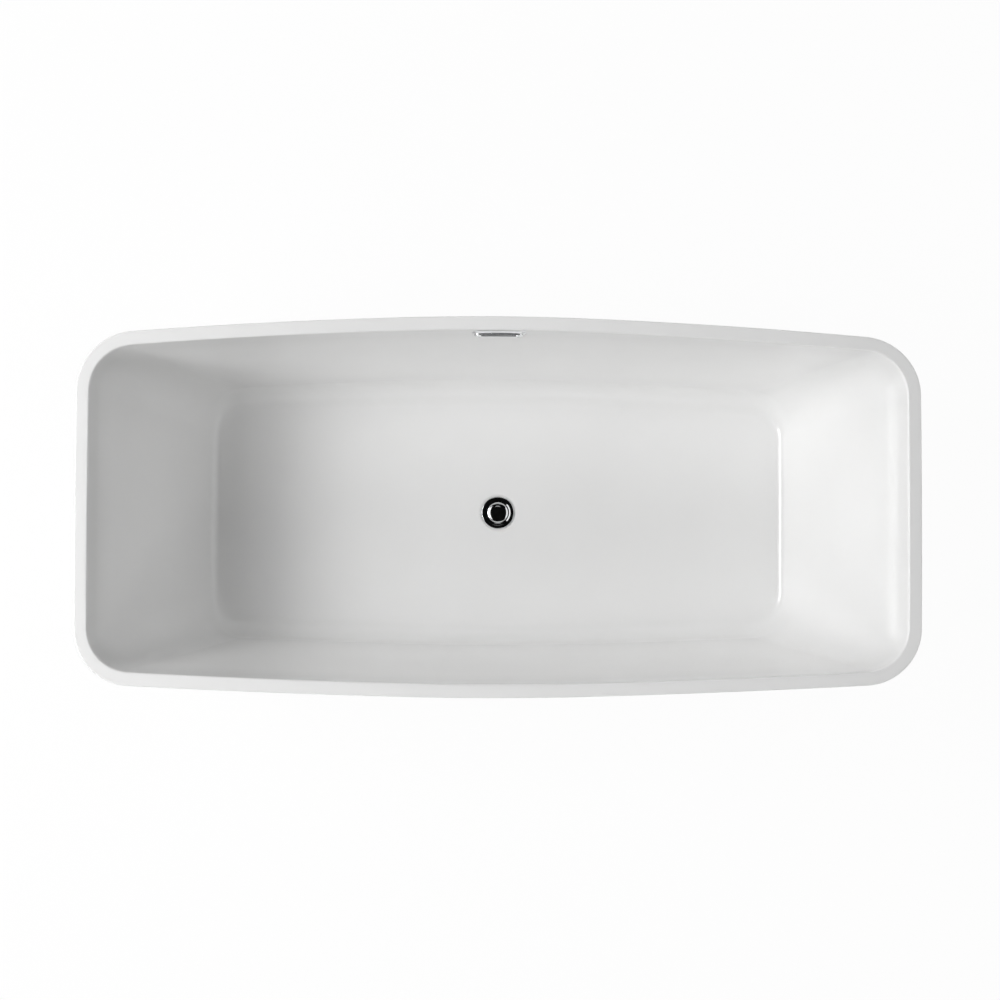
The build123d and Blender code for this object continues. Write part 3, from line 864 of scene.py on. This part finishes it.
def makeFloor(setup):
    material, tree, shader = newMaterial("paperFloor", {"Roughness": setup["rough"]})
    colour = tint(tree, noise(tree, *setup["patches"]), setup["dark"], setup["light"])
    tree.links.new(colour, shader.inputs["Base Color"])
    glow = tree.nodes.new("ShaderNodeEmission")
    glow.inputs["Strength"].default_value = 1.0
    mix = whiteMix(tree, shader.outputs[0], setup["glow"])
    tree.links.new(glow.outputs[0], mix.inputs[2])
    tree.links.new(mix.outputs[0], tree.nodes["Material Output"].inputs["Surface"])
    half, low = setup["size"] / 2, -setup["drop"]
    corners = [(-half, -half, low), (half, -half, low), (half, half, low), (-half, half, low)]
    stageSheet("studioFloor", corners, material)


def onlyReflected(sheet):
    sheet.visible_camera = False
    sheet.visible_diffuse = False
    sheet.visible_shadow = False


# black cloths over the camera and along both sides, seen only as reflections
clothSetup = {
    "left": -2.2,
    "right": 3.6,
    "side": 3.0,
    "reach": 4.6,
    "low": 3.4,
    "high": 5.4,
    "dark": (0.004, 0.004, 0.004),
    "light": (0.008, 0.008, 0.008),
    "patches": (50.0, 2.0),
}


def hangCloths(setup):
    material, tree, shader = newMaterial("blackCloth", {"Roughness": 1.0, "Specular IOR Level": 0.0})
    colour = tint(tree, noise(tree, *setup["patches"]), setup["dark"], setup["light"])
    tree.links.new(colour, shader.inputs["Base Color"])
    left, right, side, reach = setup["left"], setup["right"], setup["side"], setup["reach"]
    low, high = setup["low"], setup["high"]
    corners = [(left, -side, high), (right, -side, high), (right, side, high), (left, side, high)]
    onlyReflected(stageSheet("ceilingCloth", corners, material))
    for name, y in (("nearCloth", -side), ("farCloth", side)):
        corners = [(-reach, y, low), (reach, y, low), (reach, y, high), (-reach, y, high)]
        onlyReflected(stageSheet(name, corners, material))


# a glowing grey card between the tub and the ceiling cloth, seen only in reflections: it is no lamp, and
# it paints a grey reflection onto the top of the overflow plate
cardSetup = {"half": 0.3, "near": 0.62, "far": 1.5, "height": 5.3, "grey": 0.4}


def hangCard(setup):
    material = bpy.data.materials.new("paintedReflectionCard")
    material.use_nodes = True
    tree = material.node_tree
    # the card's grey glow is a painted reflection; it lights nothing and shows only in polished surfaces
    glow = tree.nodes.new("ShaderNodeEmission")
    glow.inputs["Color"].default_value = (setup["grey"], setup["grey"], setup["grey"], 1)
    tree.links.new(glow.outputs[0], tree.nodes["Material Output"].inputs["Surface"])
    half, near, far, up = setup["half"], setup["near"], setup["far"], setup["height"]
    corners = [(-half, near, up), (half, near, up), (half, far, up), (-half, far, up)]
    onlyReflected(stageSheet("paintedReflectionCard", corners, material))


panelSize, boxSize, stripSize = (3.5, 1.6), (2.2, 1.6), (2.5, 0.4)
# polished pieces mirror only the lamps that shine
lamps = {
    "leftPanel": {"place": (-4.045, 0.0, 3.519), "size": panelSize, "watts": 94, "shine": True},
    "leftHigh": {"place": (-3.657, 0.0, 3.99), "size": panelSize, "watts": 84, "shine": True},
    "nearLeft": {"place": (-3.471, -2.913, 2.693), "size": boxSize, "watts": 45},
    "farLeft": {"place": (-3.471, 2.913, 2.693), "size": boxSize, "watts": 25.5},
    "rightHigh": {"place": (2.113, 0.0, 5.112), "size": panelSize, "watts": 37.5},
    "rightTop": {"place": (0.868, 0.0, 5.504), "size": panelSize, "watts": 17},
    "nearRight": {"place": (2.207, -3.823, 2.927), "size": boxSize, "watts": 9.5},
    "nearRightHigh": {"place": (1.915, -3.317, 3.794), "size": boxSize, "watts": 14},
    "nearMiddle": {"place": (0.0, -3.83, 3.794), "size": boxSize, "watts": 15},
    "farSide": {"place": (0.0, 4.415, 2.927), "size": boxSize, "watts": 19.5},
    "farRight": {"place": (1.915, 3.317, 3.794), "size": boxSize, "watts": 13},
    # this one stays under the rim, so it lights the skirt alone
    "rightLow": {"place": (4.0, 0.6, 0.3), "size": stripSize, "watts": 42},
}


def makeLamp(name, setup):
    data = bpy.data.lights.new(name, "AREA")
    data.shape = "RECTANGLE"
    data.size, data.size_y = setup["size"]
    data.energy = setup["watts"]
    lamp = bpy.data.objects.new(name, data)
    lamp.location = setup["place"]
    aim = Vector((0, 0, rimTop)) - lamp.location
    lamp.rotation_euler = aim.to_track_quat("-Z", "Y").to_euler()
    lamp.visible_glossy = setup.get("shine", False)
    scene.collection.objects.link(lamp)


makeWorld(worldSetup)
makeFloor(floorSetup)
hangCloths(clothSetup)
hangCard(cardSetup)
for lampName, lampSetup in lamps.items():
    makeLamp(lampName, lampSetup)
scene.view_settings.view_transform = "Standard"
print("stage and lamps done")

bpy.context.view_layer.update()
